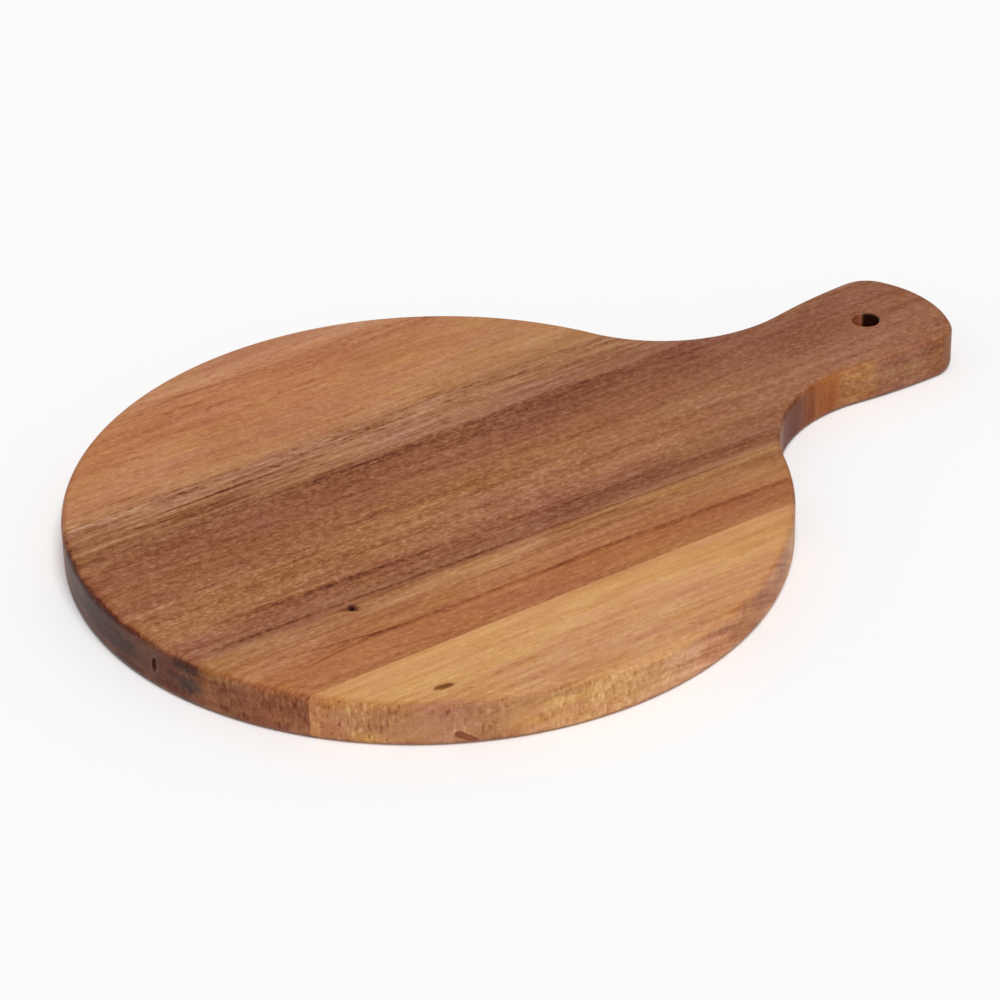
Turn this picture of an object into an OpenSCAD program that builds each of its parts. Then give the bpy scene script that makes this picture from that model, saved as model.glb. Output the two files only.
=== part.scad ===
// Round pizza serving board with a flared handle. Three planks are edge-glued into a panel, which is
// sawn to the outline, rounded over along both edges and drilled near the handle's end to hang up.
// The disc's centre is the origin, the underside lies at Z = 0 and the handle points along +X.

/* [Disc] */
// Diameter of the round serving face
disc_d = 300; // [240:5:360]
// Thickness of the panel
board_t = 20; // [12:1:30]
// Radius of the rounding along the upper and lower edge
edge_r = 3; // [1:0.5:5]

/* [Handle] */
// Length of the handle beyond the disc
handle_l = 120; // [105:1:180]
// Width of the handle at its neck, where it is narrowest
neck_w = 55; // [40:1:80]
// Distance from the disc's edge to the neck
neck_inset = 46; // [30:1:55]
// Amount that each side of the handle swells out again between neck and end
flare = 4.5; // [2:0.5:8]
// Radius of the two corners at the handle's end
corner_r = 16; // [8:1:20]
// Radius of the bow of the handle's end
end_r = 50; // [40:1:90]

/* [Hanging hole] */
// Diameter of the drilled hole
hole_d = 12; // [6:0.5:24]
// Distance from the handle's end to the hole's centre
hole_inset = 35; // [20:1:60]
// Width of the bevel that takes the sharpness off the hole's rims
hole_bevel = 0.5; // [0.2:0.1:1.5]

/* [Staves] */
// Distance from the disc's centre to the middle of the back glue line
back_seam = 62.5; // [45:0.5:110]
// Distance from the disc's centre to the middle of the front glue line
front_seam = 94; // [35:0.5:120]
// Angle between the glue lines and the handle
seam_skew = -1.5; // [-5:0.1:5]
// Thickness of the cured glue
glue_t = 0.2; // [0.1:0.05:0.5]

/* [Hidden] */
$fn = 180;

disc_r = disc_d / 2;
handle_end = disc_r + handle_l;
// Larger than the board, for cuts and for the inner sides of pieces that are cut
reach = 2 * (disc_d + handle_l);
// Width by which the section of the rounded edge laps over the flat inside it
edge_lap = edge_r / 2;
// Step to which a place is rounded before the rest is added
coarse_step = 0.01;

// The outline is a chain of arcs, each touching the next: disc, hollow at the neck, swell of the
// handle's side, corner and bowed end. These are the arcs of the +Y side.
half_neck = neck_w / 2;
half_grip = half_neck + flare;
disc_at = [0, 0];

// The hollow touches the disc from outside and is lowest at the neck
neck_x = disc_r + neck_inset;
hollow_r = (neck_x ^ 2 + half_neck ^ 2 - disc_r ^ 2) / (disc_d - neck_w);
hollow_at = [neck_x, half_neck + hollow_r];

// The bowed end is centred on the handle, and the corner touches it from inside
bow_at = [handle_end - end_r, 0];
corner_y = half_grip - corner_r;
corner_at = bow_at + [sqrt((end_r - corner_r) ^ 2 - corner_y ^ 2), corner_y];

// The swell is highest where the corner starts, and touches the hollow
grip_x = corner_at.x;
swell_r = ((grip_x - neck_x) ^ 2 + flare ^ 2) / (2 * flare) - hollow_r;
swell_at = [grip_x, half_grip - swell_r];

// The pieces of the +Y side end beyond the middle line, so that they lap over those of the -Y side
lap_y = -half_neck / 2;

function across(point) = [point.x, -point.y];

// Point at a given height on the line through two others
function along(from, to, height) = from + (to - from) * (height - from.y) / (to.y - from.y);

// Moves to a point in two steps, to its nearest round numbers and then by the rest, so that no digit of
// its place is lost and arcs that touch still do so at every size
module at_point(point) {
    near_point = [for (part = point) round(part / coarse_step) * coarse_step];
    translate(near_point)
        translate(point - near_point)
            children();
}

// Upright section of the board's rounded edge, which is at x = 0 with the wood towards -X
module edge_section() {
    straight_t = board_t - 2 * edge_r;
    translate([-edge_r - edge_lap, 0])
        square([edge_lap, board_t]);
    translate([-edge_r, edge_r])
        square([edge_r, straight_t]);
    for (upper = [0, 1])
        translate([-edge_r, edge_r + upper * straight_t])
            intersection() {
                circle(edge_r);
                translate([0, (upper - 1) * edge_r])
                    square(edge_r);
            }
}

// Round slab with a rounded edge
module round_slab(centre, radius) {
    at_point(centre)
        rotate_extrude() {
            square([radius - edge_r - edge_lap / 2, board_t]);
            at_point([radius, 0])
                edge_section();
        }
}

// Slab round a circular hollow, with a rounded edge towards the hollow's centre
module hollow_slab(centre, radius) {
    at_point(centre)
        rotate_extrude() {
            translate([radius + edge_r + edge_lap / 2, 0])
                square([reach, board_t]);
            at_point([radius, 0])
                mirror([1, 0])
                    edge_section();
        }
}

// Keeps what lies above and below a flat shape
module cut_to(points) {
    intersection() {
        children();
        translate([0, 0, -board_t])
            linear_extrude(3 * board_t)
                polygon(points);
    }
}

// Each piece follows its arc up to the line through its own centre and its neighbour's, on which the two
// arcs touch. Inside the board the pieces lap over each other.
module hollow_run() {
    cut_to([disc_at, hollow_at, along(hollow_at, swell_at, lap_y)])
        hollow_slab(hollow_at, hollow_r);
}

module swell_run() {
    beyond_y = half_grip + edge_r;
    cut_to([[0, lap_y], [grip_x, lap_y], [grip_x, beyond_y], [0, beyond_y]])
        round_slab(swell_at, swell_r);
}

module bow_run() {
    outward = bow_at + reach * (corner_at - bow_at) / (end_r - corner_r);
    cut_to([bow_at, outward, across(outward)])
        round_slab(bow_at, end_r);
}

// Drilled right through, with a bevel at 45 degrees on both rims
module hanging_hole() {
    hole_r = hole_d / 2;
    translate([handle_end - hole_inset, 0, 0]) {
        translate([0, 0, -board_t])
            cylinder(h = 3 * board_t, r = hole_r);
        for (face = [0, 1])
            translate([0, 0, face * board_t])
                mirror([0, 0, face])
                    translate([0, 0, -hole_bevel])
                        cylinder(h = 3 * hole_bevel, r1 = hole_r + 2 * hole_bevel, r2 = hole_r - hole_bevel);
    }
}

module board() {
    difference() {
        union() {
            round_slab(disc_at, disc_r);
            for (side = [0, 1])
                mirror([0, side, 0]) {
                    hollow_run();
                    swell_run();
                    round_slab(corner_at, corner_r);
                }
            bow_run();
        }
        hanging_hole();
    }
}

// The part of the finished board between two lines along the skewed panel
module sawn_from(near_y, far_y) {
    intersection() {
        board();
        rotate([0, 0, seam_skew])
            translate([-reach, near_y, -board_t])
                cube([2 * reach, far_y - near_y, 3 * board_t]);
    }
}

module back_stave() {
    color("peru")
        sawn_from(back_seam + glue_t / 2, reach);
}

module back_glue_line() {
    color("saddlebrown")
        sawn_from(back_seam - glue_t / 2, back_seam + glue_t / 2);
}

module centre_stave() {
    color("sienna")
        sawn_from(-front_seam + glue_t / 2, back_seam - glue_t / 2);
}

module front_glue_line() {
    color("saddlebrown")
        sawn_from(-front_seam - glue_t / 2, -front_seam + glue_t / 2);
}

module front_stave() {
    color("burlywood")
        sawn_from(-reach, -front_seam - glue_t / 2);
}

back_stave();
back_glue_line();
centre_stave();
front_glue_line();
front_stave();
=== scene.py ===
import math

import bmesh
import bpy
from mathutils import Euler, Matrix, Vector


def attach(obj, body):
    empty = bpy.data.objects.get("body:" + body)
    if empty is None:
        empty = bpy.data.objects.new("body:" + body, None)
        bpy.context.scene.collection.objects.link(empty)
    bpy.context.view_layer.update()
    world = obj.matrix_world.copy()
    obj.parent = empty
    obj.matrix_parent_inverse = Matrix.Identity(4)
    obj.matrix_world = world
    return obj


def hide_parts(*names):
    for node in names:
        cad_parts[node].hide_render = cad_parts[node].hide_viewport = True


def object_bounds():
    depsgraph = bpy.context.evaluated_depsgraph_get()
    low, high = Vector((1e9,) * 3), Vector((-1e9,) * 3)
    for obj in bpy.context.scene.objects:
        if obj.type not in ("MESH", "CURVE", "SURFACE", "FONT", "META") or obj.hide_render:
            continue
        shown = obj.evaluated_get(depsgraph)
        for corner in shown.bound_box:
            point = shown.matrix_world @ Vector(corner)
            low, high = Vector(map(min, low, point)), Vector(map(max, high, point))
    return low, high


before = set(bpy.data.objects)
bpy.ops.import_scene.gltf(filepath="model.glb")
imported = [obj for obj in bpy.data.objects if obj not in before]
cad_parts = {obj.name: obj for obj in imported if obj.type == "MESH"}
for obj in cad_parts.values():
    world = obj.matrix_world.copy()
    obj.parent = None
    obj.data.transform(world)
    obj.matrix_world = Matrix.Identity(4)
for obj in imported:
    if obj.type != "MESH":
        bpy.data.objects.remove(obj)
cad_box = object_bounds()


# Back plank
# The orange-tan acacia plank along the far side of the disc. The three planks are edge-glued into one
# panel, which is sawn to its outline with a template and rounded over along its upper and lower edge.
# Its face is sanded and oiled, and short dark pores and reddish streaks run along the grain.
mm = 0.001
board_t = cad_box[1].z
handle_end = cad_box[1].x
disc_r = 150 * mm
neck_w = 55 * mm
neck_inset = 46 * mm
flare = 4.5 * mm
corner_r = 16 * mm
end_r = 50 * mm
edge_r = 3 * mm
edge_steps = 10
grain_turn = math.radians(-1.5)
glue_t = 0.2 * mm
back_seam = 62.5 * mm
weld = 0.001 * mm
crisp_angle = math.radians(35)


def outline_arcs():
    """Arcs of the outline's +Y side, from the disc to the handle's end: centre, swept angle and steps."""
    neck_x = disc_r + neck_inset
    hollow_r = (neck_x**2 + neck_w**2 / 4 - disc_r**2) / (2 * disc_r - neck_w)
    hollow = Vector((neck_x, neck_w / 2 + hollow_r))
    bow = Vector((handle_end - end_r, 0))
    corner_y = neck_w / 2 + flare - corner_r
    corner = bow + Vector((math.sqrt((end_r - corner_r) ** 2 - corner_y**2), corner_y))
    rise = corner.x - neck_x
    swell_r = (rise**2 + flare**2) / (2 * flare) - hollow_r
    swell = Vector((corner.x, neck_w / 2 + flare - swell_r))
    neck_turn = math.atan2(hollow.y, hollow.x)
    swell_turn = math.atan2(rise, hollow.y - swell.y)
    corner_turn = math.atan2(corner.y, corner.x - bow.x)
    return [
        (Vector((0, 0)), neck_turn - math.pi, 240),
        (hollow, math.pi / 2 - neck_turn + swell_turn, 72),
        (swell, -swell_turn, 24),
        (corner, corner_turn - math.pi / 2, 24),
        (bow, -corner_turn, 16),
    ]


def sawn_board():
    """The whole panel, sawn to its outline and rounded over along both edges."""
    board = bmesh.new()
    tip = board.verts.new((-disc_r, 0, 0))
    for centre, angle, steps in outline_arcs():
        swept = bmesh.ops.spin(
            board, geom=[tip], cent=(*centre, 0), axis=(0, 0, 1), angle=angle, steps=steps)
        tip = next(item for item in swept["geom_last"] if isinstance(item, bmesh.types.BMVert))
    bmesh.ops.mirror(board, geom=board.verts[:] + board.edges[:], axis="Y", merge_dist=weld)
    bmesh.ops.contextual_create(board, geom=board.edges[:])
    lifted = bmesh.ops.extrude_face_region(board, geom=board.faces[:])
    raised = [item for item in lifted["geom"] if isinstance(item, bmesh.types.BMVert)]
    bmesh.ops.translate(board, verts=raised, vec=(0, 0, board_t))
    bmesh.ops.recalc_face_normals(board, faces=board.faces)
    rims = [edge for edge in board.edges if edge.calc_face_angle() > math.pi / 4]
    bmesh.ops.bevel(
        board, geom=rims, offset=edge_r, offset_type="OFFSET", segments=edge_steps, profile=0.5,
        affect="EDGES", material=-1)
    return board


def saw_along(board, distance, keep_beyond):
    """Saws the board along the grain at a distance from the disc's centre, and closes the sawn face."""
    across = Vector((-math.sin(grain_turn), math.cos(grain_turn), 0))
    cut = bmesh.ops.bisect_plane(
        board, geom=board.verts[:] + board.edges[:] + board.faces[:], dist=weld / 10,
        plane_co=across * distance, plane_no=across,
        clear_inner=keep_beyond, clear_outer=not keep_beyond)
    sawn = [item for item in cut["geom_cut"] if isinstance(item, bmesh.types.BMEdge)]
    bmesh.ops.contextual_create(board, geom=sawn)


def finished_piece(name, shape, material):
    """An object of a bmesh, shaded smooth across its roundings and crisp at its arrises."""
    bmesh.ops.recalc_face_normals(shape, faces=shape.faces)
    mesh = bpy.data.meshes.new(name)
    shape.to_mesh(mesh)
    shape.free()
    mesh.materials.append(material)
    mesh.shade_smooth()
    mesh.set_sharp_from_angle(angle=crisp_angle)
    piece = bpy.data.objects.new(name, mesh)
    bpy.context.scene.collection.objects.link(piece)
    weighted = piece.modifiers.new("weighted_normals", "WEIGHTED_NORMAL")
    weighted.weight = 100
    weighted.keep_sharp = True
    return piece


class Shade:
    """A socket in a material's node sheet, on which shader maths is written as plain expressions."""

    def __init__(self, socket):
        self.socket = socket

    def node(self, kind, settings, sockets, output=0):
        """Adds any node: its settings first, then values or links for its sockets."""
        sheet = self.socket.id_data
        made = sheet.nodes.new("ShaderNode" + kind)
        for setting, value in settings.items():
            if setting == "stops":
                ramp = made.color_ramp
                while len(ramp.elements) < len(value):
                    ramp.elements.new(0.5)
                for element, (place, colour) in zip(ramp.elements, value):
                    element.position = place
                    element.color = colour
            else:
                setattr(made, setting, value)
        for key, value in sockets.items():
            if isinstance(value, Shade):
                sheet.links.new(value.socket, made.inputs[key])
            else:
                made.inputs[key].default_value = value
        return Shade(made.outputs[output]) if made.outputs else None

    def parts(self):
        """The three parts of a vector."""
        return [self.node("SeparateXYZ", {}, {0: self}, output=part) for part in range(3)]

    def math(self, operation, first, second=0.0):
        """Adds a Math node."""
        return self.node("Math", {"operation": operation}, {0: first, 1: second})

    def __add__(self, other):
        return self.math("ADD", self, other)

    def __radd__(self, other):
        return self.math("ADD", other, self)

    def __sub__(self, other):
        return self.math("SUBTRACT", self, other)

    def __rsub__(self, other):
        return self.math("SUBTRACT", other, self)

    def __mul__(self, other):
        return self.math("MULTIPLY", self, other)

    def __rmul__(self, other):
        return self.math("MULTIPLY", other, self)

    def __truediv__(self, other):
        return self.math("DIVIDE", self, other)

    def __abs__(self):
        return self.math("ABSOLUTE", self)

    def __pow__(self, other):
        return self.math("POWER", self, other)


def step(value, start, end):
    """Rises smoothly from 0 at start to 1 at end."""
    settings = {"interpolation_type": "SMOOTHSTEP"}
    return value.node("MapRange", settings, {0: value, 1: start, 2: end, 3: 0.0, 4: 1.0})


def mix(share, first, second):
    """A colour, from the first at share 0 to the second at share 1."""
    return share.node("Mix", {"data_type": "RGBA"}, {0: share, 6: first, 7: second}, output=2)


def tone(red, green, blue):
    """The wood's own colour, from its looks in the usual 0 to 255, less the grey of the oil's sheen."""
    sheen = 0.013
    darkest = 0.002
    seen = [((part / 255 + 0.055) / 1.055) ** 2.4 for part in (red, green, blue)]
    return tuple(max(part - sheen, darkest) for part in seen)


def ramp(value, table):
    """Colours along a table of places, each with its red, green and blue."""
    low, high = table[0][0], table[-1][0]
    share = (value - low) / (high - low)
    stops = [((place - low) / (high - low), (*colour, 1.0)) for place, *colour in table]
    return share.node("ValToRGB", {"stops": stops}, {0: share})


def times(first, second):
    """Two colours or vectors multiplied part by part."""
    return first.node("VectorMath", {"operation": "MULTIPLY"}, {0: first, 1: second})


class Grain:
    """Places in a plank in millimetres: u along the grain, v across it and w up, with noise along it.

    The growth rings stand upright, or lean over by so many millimetres for each millimetre of height.
    """

    seeds_apart = 7.3

    def __init__(self, sheet, seed, lean=0.0):
        self.object = Shade(sheet.nodes.new("ShaderNodeTexCoord").outputs["Object"])
        self.place = self.object.node("Mapping", {"vector_type": "POINT"}, {
            "Vector": self.object,
            "Rotation": (0, 0, -grain_turn),
            "Scale": (1 / mm, 1 / mm, 1 / mm),
        })
        self.u, self.v, self.w = self.place.parts()
        leaning = self.v + (self.w - board_t / mm) * lean
        self.rings = leaning.node("CombineXYZ", {}, {0: self.u, 1: leaning, 2: self.w})
        normal = Shade(sheet.nodes.new("ShaderNodeNewGeometry").outputs["Normal"])
        self.normal_x, _, self.normal_z = normal.parts()
        self.seed = seed

    def noise(self, long, wide, high, detail=2.0, roughness=0.5, in_rings=False):
        """Noise about zero whose blotches are so many millimetres along u, v and w."""
        self.seed += 1
        place = self.rings if in_rings else self.place
        scaled = place.node("Mapping", {"vector_type": "POINT"}, {
            "Vector": place,
            "Scale": (1 / long, 1 / wide, 1 / high),
        })
        return scaled.node("TexNoise", {"noise_dimensions": "4D"}, {
            "Vector": scaled,
            "W": self.seed * self.seeds_apart,
            "Scale": 1.0,
            "Detail": detail,
            "Roughness": roughness,
        }) - 0.5


def streak(grain, v, start, end, above, below):
    """A mask that is 1 on the line between two places on the face, and fades beside and past it."""
    slope = (end[1] - start[1]) / (end[0] - start[0])
    off = v - (start[1] + (grain.u - start[0]) * slope)
    fade = 10.0
    begun = step(grain.u, start[0] - fade, start[0] + fade)
    ended = step(grain.u, end[0] + fade, end[0] - fade)
    return step(off, above, 0.0) * step(off, -below, 0.0) * begun * ended


unturned = (0, 0, 0)
mid_height = board_t / mm / 2
through = 30
any_height = 3000


def from_spot(grain, centre, radii, turn):
    """Distance from a place in the wood, which is 1 at the given radii along, across and up."""
    within = grain.object.node("Mapping", {"vector_type": "TEXTURE"}, {
        "Vector": grain.object,
        "Location": Vector(centre) * mm,
        "Rotation": turn,
        "Scale": Vector(radii) * mm,
    })
    return within.node("VectorMath", {"operation": "LENGTH"}, {0: within}, output=1)


def oiled_wood(name, seed, bands, figure, length, marks, spots, lean=0.0):
    """Sanded and oiled acacia, from tables of its looks, with growth rings that stand upright or lean.

    Across the grain, bands are its tones, and figure is how strong its mottle, fibres and pores are.
    Along it, length is a tinge. Marks are single lines; spots are knots, wall stains and painted light.
    """
    material = bpy.data.materials.new(name)
    material.use_nodes = True
    sheet = material.node_tree
    sheet.nodes.clear()
    grain = Grain(sheet, seed, lean)

    # Which way the surface faces, and the stretches of the outline that were cut or worn in their own way
    upright = abs(grain.normal_z)
    endward = abs(grain.normal_x)
    wall = step(upright, 0.9, 0.55)
    arris = step(upright, 0.35, 0.75) * step(upright, 1.0, 0.88)
    shaded_lower_arris = step(grain.normal_z, -0.1, -0.6) * step(grain.normal_z, -0.99, -0.9)
    far_end = step(grain.u, -132, -144) * step(grain.v, -36, -12)
    in_neck = wall * step(grain.u, 150, 156) * step(grain.u, 200, 196)
    ploughed = wall * step(grain.u, 10, 50) * step(grain.u, 150, 140)

    # The wood's own figure: mottle, fibres, ribbons and clouds, which also fray the bands of tone
    mottle = grain.noise(2.4, 1.3, 1.3, detail=3.0, roughness=0.62)
    fibre = grain.noise(38, 2.2, 2.2 + lean * 18, detail=3.0, roughness=0.55, in_rings=True)
    ribbon = grain.noise(120, 6, 6 + lean * 14, in_rings=True)
    cloud = grain.noise(40, 15, 15)
    sway = ribbon * 1.5 + grain.noise(130, 40, 40) * 2.0
    drawn = grain.v + sway * 0.4 + fibre + mottle * 0.4
    frayed = grain.v + sway + fibre * 2.5 + mottle
    colour = ramp(frayed, bands)
    mottled, streaky, dashed = ramp(frayed, figure).parts()

    # Pores that show as dark dashes or pale flecks, and the marks
    crowd = dashed * 0.09 + cloud * 0.2
    dashes = step(grain.noise(6, 1.5, 1.5, detail=2.0) + crowd, 0.15, 0.25)
    flecks = step(grain.noise(6, 1.6, 1.6, detail=2.0) + crowd, 0.16, 0.28)
    speckle = mottle * (1.0 + mottle * 2.0) * 2.7 * mottled
    lines = (fibre * 2.0 + ribbon * 0.9) * streaky * (1.0 + ploughed * 1.6)
    pores = (flecks * 0.32 - dashes * 0.42) * (dashed * 0.75 + 0.25)
    calm = (1.0 - step(grain.u, 20, 110) * 0.22) * (1.0 - endward**1.5 * 0.75) * (1.0 - in_neck * 0.7)
    shade = (speckle + lines + pores) * calm + cloud * 0.5
    for start, end, above, below, depth in marks:
        shade = shade + streak(grain, drawn, start, end, above, below) * depth

    # What the saw, the cutter and the sander left on the wall and its arrises, with painted sheen and
    # painted shade
    patches = grain.noise(9, 9, 14)
    nicks = grain.noise(1.3, 1.3, 3.6, detail=2.0)
    scored = step(nicks, 0.04, 0.17) * 0.35 - step(nicks, -0.05, -0.18) * 0.32
    rough_cut = step(grain.noise(24, 24, 60), -0.15, 0.05)
    nicked = rough_cut * step(grain.u, 30, -5) * step(endward, 0.97, 0.9)
    reeded = in_neck * grain.noise(4, 4, 90, detail=2.0, roughness=0.65) * 1.8
    # Painted sheen: lighter and darker streaks along the end wall that stand in for its sheen.
    painted_sheen_streaks = endward**6 * grain.noise(6, 16, 3.5) * 1.7
    shade = shade + wall * (scored * (nicked * 0.85 + 0.15) + reeded + painted_sheen_streaks + patches * 0.6 - 0.04)
    shade = shade - arris * (0.02 + patches * 0.4 + step(grain.u, 10, -60) * 0.1)
    whole_disc = (disc_r / mm, disc_r / mm, any_height)
    rim = from_spot(grain, (0, 0, mid_height), whole_disc, unturned) + (mottle + patches) * 0.03
    shade = shade - far_end * (step(rim, 0.96, 1.0) * 0.3 + arris * endward * (0.3 + patches * 1.2))
    # The downward-facing lower rounding is painted darker, as painted shade, and end grain is darker.
    shade = shade - shaded_lower_arris * 0.15 - endward**1.5 * 0.5

    # Where the wood is darker it loses blue first and red last, and it is redder or yellower in places
    light = (1.0 + shade).node("Clamp", {}, {0: 1.0 + shade, 1: 0.12, 2: 2.0})
    pigment = light.node("CombineXYZ", {}, {0: light**0.62, 1: light, 2: light**1.4})
    tint = (grain.noise(25, 5, 5) * 0.26 + grain.noise(70, 16, 16) * 0.3) * (1.0 + wall * 0.6)
    tinted = tint.node("CombineXYZ", {}, {0: 1.0 - tint * 0.4, 1: 1.0 - tint, 2: 1.0 + tint})
    colour = times(times(times(colour, pigment), tinted), ramp(grain.u, length))

    # Wall spots darken or lighten the wall, as stains and as painted light; any other spot has its own
    # tone
    pits = 0.0
    for centre, radii, turn, soft, ragged, spot_tone, strength, on_wall in spots:
        edge = from_spot(grain, centre, radii, turn) + (mottle * 1.6 + patches * 0.8) * ragged
        mask = step(edge, 1.0 + soft, 1.0 - soft) * strength
        if on_wall:
            colour = mix(mask * wall, colour, times(colour, spot_tone))
        else:
            colour = mix(mask, colour, (*spot_tone, 1.0))
            pits = mask + pits

    roughness = 0.62 + mottle * 0.25 - wall * 0.14
    relief = fibre * 0.5 + mottle * 0.5 - dashes * 0.4 + wall * scored * 0.8 - pits * 0.3
    bump = relief.node("Bump", {}, {"Strength": 0.3, "Distance": 0.15 * mm, "Height": relief})
    surface = bump.node("BsdfPrincipled", {}, {
        "Base Color": colour,
        "Roughness": roughness,
        "Specular IOR Level": 0.14,
        "Coat Weight": wall * (0.1 - in_neck * 0.1),
        "Coat Roughness": 0.35,
        "Normal": bump,
    })
    surface.node("OutputMaterial", {}, {"Surface": surface})
    return material


# Place across the grain, and tone
back_bands = [
    (62, *tone(170, 120, 85)),
    (68, *tone(178, 124, 87)),
    (92, *tone(181, 123, 84)),
    (101, *tone(176, 117, 79)),
    (125, *tone(178, 119, 82)),
    (132, *tone(186, 130, 94)),
    (138, *tone(185, 131, 95)),
    (150, *tone(177, 123, 89)),
]
# Place across the grain, and strength of mottle, fibres and pores
back_figure = [
    (62, 0.5, 1.1, 1.1),
    (66, 0.5, 0.5, 0.5),
    (85, 0.5, 0.42, 0.4),
    (110, 0.5, 0.5, 0.6),
    (125, 0.5, 0.65, 0.85),
    (132, 0.42, 0.4, 0.5),
    (150, 0.36, 0.4, 0.4),
]
# Place along the grain, and share of red, green and blue
back_length = [
    (-150, 1.0, 1.0, 1.0),
    (20, 1.0, 1.0, 1.0),
    (110, 0.94, 1.01, 1.04),
    (150, 0.94, 1.01, 1.04),
]
# Start and end along and across the grain, fade above and below, and depth
back_marks = [
    ((-131, 69.6), (-91, 69.1), 0.9, 0.9, -0.35),
    ((-62.7, 74.7), (-41.9, 71.8), 0.9, 0.9, -0.3),
    ((-51.4, 129.7), (-17.3, 127.0), 1.2, 2.2, -0.25),
    ((-17.3, 127.0), (26.8, 121.7), 1.2, 2.0, -0.08),
    ((-63.2, 119.9), (-23.1, 117.8), 0.9, 1.6, -0.25),
    ((-100.6, 97.4), (-71.5, 94.0), 1.0, 1.5, -0.2),
    ((-63.3, 124.4), (-13.2, 122.2), 5.0, 6.0, -0.1),
    ((-140, 63), (-75, 63), 2.0, 2.0, -0.15),
    ((0, 63.4), (135, 63.4), 2.4, 2.4, -0.25),
    ((40, 62), (140, 70), 12.0, 12.0, -0.16),
]
tan_wood = oiled_wood("tan_wood", 10, back_bands, back_figure, back_length, back_marks, [])
back_shape = sawn_board()
saw_along(back_shape, back_seam + glue_t / 2, keep_beyond=True)
back_plank = finished_piece("back_plank", back_shape, tan_wood)
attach(back_plank, "root")
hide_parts("back_stave")


# Centre plank
# The wide red-brown plank that is sawn in one piece with the handle and drilled to hang up. Darker
# heartwood lines run along it, its front third is golden sapwood with a red line, and a borer's pinhole
# and a small loose knot are left open in it.
front_seam = -94 * mm
hole_inset = 35 * mm
hole_at = Vector((handle_end - hole_inset, 0))
hole_r = 6 * mm
hole_bevel = 0.5 * mm
hole_steps = 72
down_hole = 40
pinhole_turn = (0, 0, 0.95)
crack_turn = (0, 0, -0.3)
knot_at = (-147.9, -25.2, 10.6)
knot_turn = (0.13, 0, 0.17)
centre_bands = [
    (-95, *tone(171, 113, 74)),
    (-80, *tone(168, 107, 70)),
    (-55, *tone(171, 120, 81)),
    (-51, *tone(151, 100, 71)),
    (-45, *tone(146, 95, 69)),
    (-25, *tone(160, 106, 73)),
    (-10, *tone(159, 106, 72)),
    (10, *tone(147, 93, 64)),
    (20, *tone(144, 91, 65)),
    (44, *tone(154, 104, 74)),
    (52, *tone(161, 111, 80)),
    (63, *tone(160, 110, 78)),
]
centre_figure = [
    (-95, 0.6, 0.5, 0.3),
    (-75, 0.6, 0.6, 0.3),
    (-68, 0.6, 0.9, 0.3),
    (-53, 0.6, 1.0, 0.3),
    (-48, 1.0, 0.9, 0.4),
    (-30, 1.15, 0.75, 0.4),
    (20, 1.15, 0.75, 0.3),
    (36, 1.05, 0.9, 0.3),
    (42, 0.75, 1.7, 0.6),
    (52, 0.75, 1.7, 1.0),
    (58, 0.85, 1.75, 1.15),
    (63, 0.85, 1.6, 1.3),
]
centre_length = [
    (-150, 1.0, 1.0, 1.0),
    (20, 1.0, 1.0, 1.0),
    (110, 0.97, 1.01, 1.04),
    (150, 0.93, 0.97, 1.05),
    (180, 0.88, 0.9, 1.02),
    (275, 0.88, 0.9, 1.02),
]
centre_marks = [
    ((-140, 61.8), (-75, 61.8), 1.5, 2.0, -0.15),
    ((0, 62), (135, 62), 1.5, 1.8, -0.22),
    ((-35, 54.3), (60, 54), 1.2, 1.6, -0.3),
    ((85, 54), (140, 53), 6.0, 6.0, 0.18),
    ((-130, 51.2), (-40, 51), 1.3, 1.5, -0.36),
    ((0, 50), (48, 49), 3.0, 3.0, 0.12),
    ((-40, 45.2), (45, 44.5), 1.2, 1.2, -0.32),
    ((-35, 42.2), (90, 41.8), 1.2, 1.2, -0.14),
    ((-91, 40.2), (119, 38.8), 1.2, 1.6, 0.22),
    ((-142, 36.6), (-20, 36.4), 5.0, 24, -0.35),
    ((-20, 36.4), (160, 36.2), 2.0, 24, -0.36),
    ((0, 34.6), (160, 34.4), 2.2, 4.0, -0.14),
    ((-35, 36.6), (5, 36.4), 1.2, 1.2, 0.28),
    ((85, 36.6), (125, 36.4), 1.2, 1.2, 0.2),
    ((45.3, 26), (97.6, 14.7), 1.0, 2.0, -0.3),
    ((-120, 17), (110, 16), 2.5, 3.5, -0.13),
    ((-40, 15), (50, 9.5), 2.5, 6.0, -0.09),
    ((-128.4, 14.6), (-100.3, 10.4), 1.0, 2.0, -0.25),
    ((-40, 3.5), (90, 3), 2.0, 2.0, -0.08),
    ((-123.3, -30.7), (60, -41), 2.0, 15, -0.24),
    ((60, -41), (141.2, -45.5), 3.0, 12, -0.17),
    ((-123.3, -31.2), (60, -41.5), 1.8, 3.0, -0.14),
    ((-127.7, -46.6), (40, -51.7), 1.4, 1.2, -0.42),
    ((40, -51.7), (118.3, -54.1), 1.0, 1.2, -0.36),
    ((-125, -52.5), (-60, -54), 3.0, 4.0, 0.3),
    ((0, -54), (60, -55.5), 2.0, 2.5, -0.35),
    ((80, -57), (140, -60), 5.0, 9.0, -0.2),
    ((-106.3, -67.8), (-68.1, -73.8), 0.9, 1.6, -0.46),
    ((-111, -77.9), (-73.1, -73.4), 0.9, 1.6, -0.4),
    ((-115, -72.5), (-35, -72.5), 2.5, 3.0, -0.16),
    ((-78.1, -73.9), (18, -75.4), 1.0, 3.0, -0.54),
    ((12, -74.4), (126, -78.2), 1.4, 4.5, -0.52),
    ((-99.8, -85.8), (-67.8, -85.4), 0.9, 1.6, -0.22),
    ((-82, -83.5), (-45, -91), 0.9, 1.2, -0.2),
    ((45, -86.5), (135, -88), 4.0, 5.0, -0.2),
    ((88, -82), (140, -84), 4.0, 4.0, -0.16),
]
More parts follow.
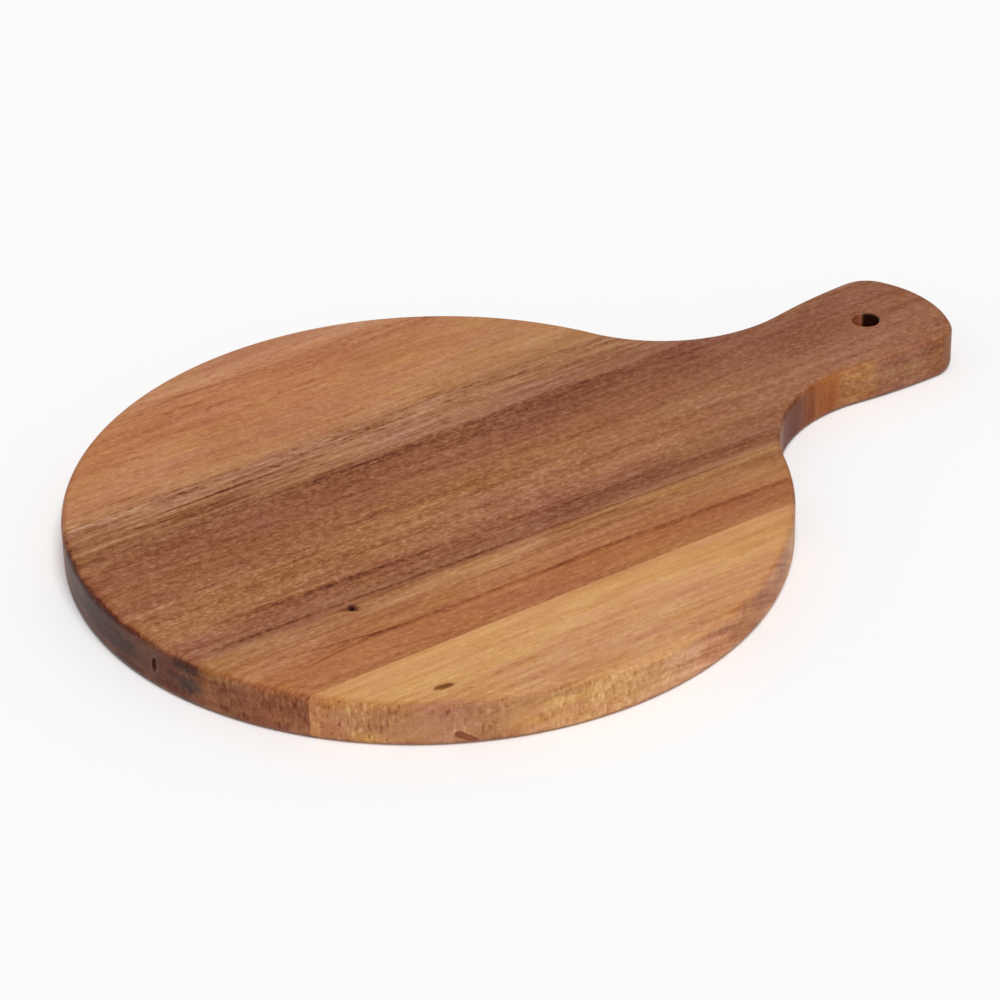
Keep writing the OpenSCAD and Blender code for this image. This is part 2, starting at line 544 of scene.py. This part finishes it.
# Place in the wood, radii, turn, softness and raggedness of the edge, tone, strength, and whether it is on
# the wall, as a stain or as painted light, whose tone is a share of the wood's
centre_spots = [
    ((-150, 8.5, mid_height), (20, 56, through), unturned, 0.06, 0.15, (0.51, 0.52, 0.7), 1.0, True),
    # Painted reflection of the pale floor, lightening the foot of the left end wall
    ((-150, 4, 2), (16, 36, 4.5), unturned, 0.5, 0.9, (1.7, 1.75, 1.8), 0.9, True),
    ((-143.7, -43.1, 9), (4, 6.5, 3.6), (0, 0, 0.29), 0.5, 0.8, (0.32, 0.44, 0.5), 0.9, True),
    ((-145.9, -34.7, 10.1), (3, 2.2, 2.2), (0, 0, 0.24), 0.5, 0.8, (0.6, 0.72, 0.75), 0.8, True),
    ((-145.8, -35.4, mid_height), (4, 6.0, through), (0, 0, 0.24), 0.4, 0.8, (1.6, 1.42, 1.36), 0.9, True),
    ((-144.0, -42.0, 17.5), (4, 6.0, 3.4), (0, 0, 0.29), 0.5, 0.8, (0.5, 0.5, 0.52), 0.9, True),
    ((164, -40, mid_height), (11, 16, through), unturned, 0.2, 0.3, (0.56, 0.36, 0.3), 1.0, True),
    ((186, -30, mid_height), (11.5, 9, through), unturned, 0.25, 0.3, (0.98, 0.7, 0.35), 1.0, True),
    ((206, -30, mid_height), (9.5, 9, through), unturned, 0.4, 0.4, (1.3, 1.33, 1.02), 1.0, True),
    ((254, -27, mid_height), (12, 9, through), unturned, 0.35, 0.5, (0.88, 0.74, 0.5), 1.0, True),
    ((-128, -80, mid_height), (22, 27, through), unturned, 0.2, 0.4, (0.94, 1.02, 1.2), 1.0, True),
    # In the bore: painted light on its wall toward -X and +Y, a thin painted highlight down it, and its +X
    # side made much darker
    ((231.6, 4.9, mid_height), (6, 6, down_hole), unturned, 0.2, 0.2, (1.5, 1.25, 1.1), 1.0, True),
    ((237.1, 5.6, mid_height), (0.8, 0.8, down_hole), unturned, 0.6, 0.5, (1.5, 1.8, 2.2), 0.8, True),
    ((240.9, 1.0, mid_height), (5.3, 5.3, down_hole), unturned, 0.2, 0.35, (0.15, 0.1, 0.1), 1.0, True),
    (knot_at, (3, 2.3, 4.7), knot_turn, 0.4, 1.2, tone(136, 100, 90), 0.5, False),
    (knot_at, (3, 1.5, 3.7), knot_turn, 0.15, 0.2, tone(80, 46, 33), 1.0, False),
    ((-74.6, -51.0, 20), (5.2, 1.4, 3), crack_turn, 0.6, 0.7, tone(118, 68, 44), 0.6, False),
    ((-72.8, -51.4, 20), (2.7, 2.4, 3), pinhole_turn, 0.4, 0.9, tone(96, 50, 24), 0.9, False),
    ((-72.9, -51.6, 20), (1.6, 1.5, 3), pinhole_turn, 0.35, 0.5, tone(58, 22, 8), 1.0, False),
]
brown_wood = oiled_wood(
    "brown_wood", 40, centre_bands, centre_figure, centre_length, centre_marks, centre_spots)
centre_shape = sawn_board()
saw_along(centre_shape, back_seam - glue_t / 2, keep_beyond=False)
saw_along(centre_shape, front_seam + glue_t / 2, keep_beyond=True)


def drill_shape():
    """The hole and the bevels of its two rims, turned from half their section."""
    drill = bmesh.new()
    section = [(0, -hole_bevel), (hole_r + 2 * hole_bevel, -hole_bevel), (hole_r, hole_bevel)]
    section += [(radius, board_t - height) for radius, height in reversed(section)]
    corners = [drill.verts.new((hole_at.x + radius, hole_at.y, height)) for radius, height in section]
    for near, far in zip(corners, corners[1:]):
        drill.edges.new((near, far))
    bmesh.ops.spin(
        drill, geom=drill.verts[:] + drill.edges[:], cent=(hole_at.x, hole_at.y, 0), axis=(0, 0, 1),
        angle=2 * math.pi, steps=hole_steps, use_merge=True)
    bmesh.ops.remove_doubles(drill, verts=drill.verts, dist=weld)
    bmesh.ops.recalc_face_normals(drill, faces=drill.faces)
    return drill


def pit_shape(centre, radii, turn):
    """A small uneven hollow."""
    unevenness = 0.12
    pit = bmesh.new()
    bmesh.ops.create_icosphere(pit, subdivisions=3, radius=1)
    for corner in pit.verts:
        wave = math.sin(5 * corner.co.x + 3 * corner.co.y) * math.cos(4 * corner.co.z)
        corner.co *= 1 + unevenness * wave
    bmesh.ops.scale(pit, verts=pit.verts, vec=Vector(radii) * mm)
    bmesh.ops.rotate(pit, verts=pit.verts, cent=(0, 0, 0), matrix=Euler(turn).to_matrix())
    bmesh.ops.translate(pit, verts=pit.verts, vec=Vector(centre) * mm)
    return pit


def carved(board, cutters):
    """The board with the cutters' shapes taken out of it."""
    made = []
    for shape in (board, *cutters):
        mesh = bpy.data.meshes.new("carving")
        shape.to_mesh(mesh)
        shape.free()
        made.append(bpy.data.objects.new("carving", mesh))
        bpy.context.scene.collection.objects.link(made[-1])
    for cutter in made[1:]:
        cut = made[0].modifiers.new("cut", "BOOLEAN")
        cut.operation = "DIFFERENCE"
        cut.solver = "EXACT"
        cut.object = cutter
    result = bmesh.new()
    result.from_object(made[0], bpy.context.evaluated_depsgraph_get())
    bmesh.ops.remove_doubles(result, verts=result.verts, dist=2 * weld)
    bmesh.ops.dissolve_degenerate(result, edges=result.edges, dist=2 * weld)
    for piece in made:
        mesh = piece.data
        bpy.data.objects.remove(piece)
        bpy.data.meshes.remove(mesh)
    return result


# The drilled hole, the pinhole's worn mouth and the pinhole itself, a crack beside it, and the loose knot
centre_shape = carved(centre_shape, [
    drill_shape(),
    pit_shape((-72.9, -51.6, 19.9), (1.7, 1.5, 0.45), pinhole_turn),
    pit_shape((-72.8, -51.7, 19.8), (0.85, 0.8, 2.4), pinhole_turn),
    pit_shape((-75.4, -50.8, 19.95), (2.2, 0.35, 0.4), crack_turn),
    pit_shape(knot_at, (1.5, 1.3, 3.4), knot_turn),
])
centre_plank = finished_piece("centre_plank", centre_shape, brown_wood)
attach(centre_plank, "root")
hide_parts("centre_stave")


# Front plank
# The pale golden plank along the near side of the disc, sanded and oiled like the others. Its growth rings
# lean, so its grain runs obliquely down the wall. It has one small brown knot in its face, and a splinter
# torn out low on its wall has left a red-brown scar.
face_knot_turn = (0, 0, -0.19)
scar_turn = (0, 0.48, -0.515)
front_bands = [
    (-150, *tone(196, 142, 98)),
    (-130, *tone(199, 146, 101)),
    (-112, *tone(206, 153, 104)),
    (-94, *tone(202, 148, 99)),
]
front_figure = [
    (-150, 0.38, 0.5, 0.45),
    (-125, 0.3, 0.48, 0.35),
    (-110, 0.24, 0.45, 0.22),
    (-94, 0.22, 0.4, 0.15),
]
front_length = [
    (-150, 1.0, 1.0, 1.0),
    (40, 1.0, 1.0, 1.0),
    (90, 0.97, 0.95, 0.92),
    (150, 0.97, 0.95, 0.92),
]
front_marks = [
    ((-47.3, -104.3), (-22.2, -106.6), 1.5, 2.5, -0.12),
    ((-48, -102.1), (-4, -105.7), 0.8, 1.5, -0.13),
    ((-46.8, -121.8), (-32.8, -122.4), 0.9, 0.9, -0.3),
    ((-56.6, -132.5), (-16.4, -137.5), 4.0, 4.0, -0.1),
    ((-35, -104), (45, -104), 7.0, 7.0, 0.06),
    ((50, -104), (140, -104), 7.0, 6.0, -0.06),
]
front_spots = [
    ((-84, -124, mid_height), (28, 20, through), unturned, 0.35, 0.8, (0.88, 0.85, 1.0), 1.0, True),
    ((-16, -150, mid_height), (44, 20, through), unturned, 0.3, 0.8, (1.12, 1.17, 1.3), 1.0, True),
    ((-45, -143, 18.5), (26, 12, 3.5), unturned, 0.5, 0.8, (0.8, 0.76, 0.78), 0.8, True),
    ((-108, -104, mid_height), (12, 12, 7), unturned, 0.4, 0.8, (1.05, 1.12, 1.32), 0.9, True),
    ((62, -139, mid_height), (36, 24, through), unturned, 0.35, 0.8, (1.03, 0.95, 0.95), 1.0, True),
    ((66, -134, 9), (40, 24, 6), unturned, 0.4, 1.6, (0.86, 0.78, 0.76), 1.0, True),
    ((-75.3, -117.0, 20), (4.1, 1.8, 4), face_knot_turn, 0.3, 0.7, tone(128, 80, 40), 0.95, False),
    ((-74.6, -117.1, 20), (3.2, 0.8, 4), face_knot_turn, 0.5, 0.6, tone(112, 66, 32), 0.8, False),
    ((-76.5, -129.2, 5.0), (2.6, 4, 1.8), scar_turn, 0.15, 0.5, tone(128, 72, 50), 0.9, False),
    ((-74.2, -130.4, 3.7), (4.8, 4, 1.4), scar_turn, 0.15, 0.5, tone(128, 72, 50), 0.9, False),
    ((-74.6, -130.2, 4.0), (3.0, 4, 0.6), scar_turn, 0.6, 0.8, tone(158, 92, 68), 0.6, False),
]
golden_wood = oiled_wood(
    "golden_wood", 70, front_bands, front_figure, front_length, front_marks, front_spots, lean=1.0)
front_shape = sawn_board()
saw_along(front_shape, front_seam - glue_t / 2, keep_beyond=False)
front_plank = finished_piece("front_plank", front_shape, golden_wood)
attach(front_plank, "root")
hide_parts("front_stave")


# Glue lines
# The two films of cured wood glue between the planks, squeezed thin in the clamps and sanded flush with
# them. They keep the solids' own shape. The back one is stained dark, and the front one hardly shows.
def cured_glue(name, seed, clear, stained):
    """Dull amber glue that takes up dust from sanding in broken lengths."""
    material = bpy.data.materials.new(name)
    material.use_nodes = True
    sheet = material.node_tree
    sheet.nodes.clear()
    grain = Grain(sheet, seed)
    broken = step(grain.noise(7, 3, 3, detail=3.0), -0.06, 0.08)
    specks = grain.noise(1.2, 1.2, 1.2, detail=2.0)
    colour = mix(broken, (*clear, 1.0), (*stained, 1.0))
    light = 1.0 + specks * 1.2
    colour = times(colour, light.node("CombineXYZ", {}, {0: light, 1: light, 2: light}))
    relief = specks - broken * 0.5
    bump = relief.node("Bump", {}, {"Strength": 0.3, "Distance": 0.05 * mm, "Height": relief})
    surface = bump.node("BsdfPrincipled", {}, {
        "Base Color": colour,
        "Roughness": 0.55 + specks * 0.3,
        "Specular IOR Level": 0.2,
        "Normal": bump,
    })
    surface.node("OutputMaterial", {}, {"Surface": surface})
    return material


stained_glue = cured_glue("stained_glue", 100, tone(150, 100, 68), tone(84, 50, 34))
clear_glue = cured_glue("clear_glue", 110, tone(186, 132, 86), tone(150, 98, 62))
bpy.data.objects["back_glue_line"].material_slots[0].material = stained_glue
bpy.data.objects["front_glue_line"].material_slots[0].material = clear_glue


# Floor, lamps and camera
# A wide pale floor just under the board, a soft white sky and one broad lamp, seen from the photograph's
# place. The floor lets rays through from below and from close by, so the underside is lit and can be seen.
floor_reach = 4.0
floor_gap = 0.1 * mm
close_by = 1 * mm
floor_shape = bmesh.new()
bmesh.ops.create_grid(floor_shape, x_segments=1, y_segments=1, size=floor_reach)
bmesh.ops.translate(floor_shape, verts=floor_shape.verts, vec=(0, 0, -floor_gap))
floor_paint = bpy.data.materials.new("floor_paint")
floor_paint.use_nodes = True
floor_sheet = floor_paint.node_tree
floor_sheet.nodes.clear()
from_below = Shade(floor_sheet.nodes.new("ShaderNodeNewGeometry").outputs["Backfacing"])
ray_length = from_below.node("LightPath", {}, {}, output="Ray Length")
from_close = ray_length.math("LESS_THAN", ray_length, close_by)
let_through = from_below.math("MAXIMUM", from_below, from_close)
paint = from_below.node("BsdfPrincipled", {}, {
    "Base Color": (0.97, 0.97, 0.97, 1),
    "Roughness": 0.9,
    "Specular IOR Level": 0.0,
})
clear = from_below.node("BsdfTransparent", {}, {})
floor_surface = from_below.node("MixShader", {}, {0: let_through, 1: paint, 2: clear})
floor_surface.node("OutputMaterial", {}, {"Surface": floor_surface})
floor_mesh = bpy.data.meshes.new("floor")
floor_shape.to_mesh(floor_mesh)
floor_shape.free()
floor_mesh.materials.append(floor_paint)
floor = bpy.data.objects.new("floor", floor_mesh)
bpy.context.scene.collection.objects.link(floor)

sky_light = 0.36
world = bpy.data.worlds.new("studio")
world.use_nodes = True
sky = world.node_tree.nodes["Background"]
seen = Shade(world.node_tree.nodes.new("ShaderNodeLightPath").outputs["Is Camera Ray"])
mirrored = Shade(seen.socket.node.outputs["Is Glossy Ray"])
seen_through = Shade(seen.socket.node.outputs["Is Transmission Ray"])
shown = seen.math("MAXIMUM", seen, mirrored.math("MAXIMUM", mirrored, seen_through))
sky_level = sky_light + (1 - sky_light) * shown
sky.inputs["Color"].default_value = (1, 1, 1, 1)
world.node_tree.links.new(sky_level.socket, sky.inputs["Strength"])
bpy.context.scene.world = world

key_from = Vector((-0.34, -0.94, 2.14))
key_data = bpy.data.lights.new("key", "SUN")
key_data.angle = math.radians(30)
key_data.energy = 2.2
key = bpy.data.objects.new("key", key_data)
key.rotation_euler = key_from.to_track_quat("Z", "Y").to_euler()
bpy.context.scene.collection.objects.link(key)

target = Vector((38.58, 3.70, 0)) * mm
azimuth = math.radians(-35.394)
elevation = math.radians(32.017)
roll = math.radians(-1.261)
distance = 1.60676
tilted = Matrix.Rotation(math.pi / 2 - elevation, 4, "X") @ Matrix.Rotation(roll, 4, "Z")
turn = Matrix.Rotation(azimuth, 4, "Z") @ tilted
camera_data = bpy.data.cameras.new("camera")
camera_data.sensor_width = 36
camera_data.lens = 138.517
camera = bpy.data.objects.new("camera", camera_data)
camera.matrix_world = Matrix.Translation(target + turn @ Vector((0, 0, distance))) @ turn
bpy.context.scene.collection.objects.link(camera)
bpy.context.scene.camera = camera
bpy.context.scene.view_settings.view_transform = "Standard"
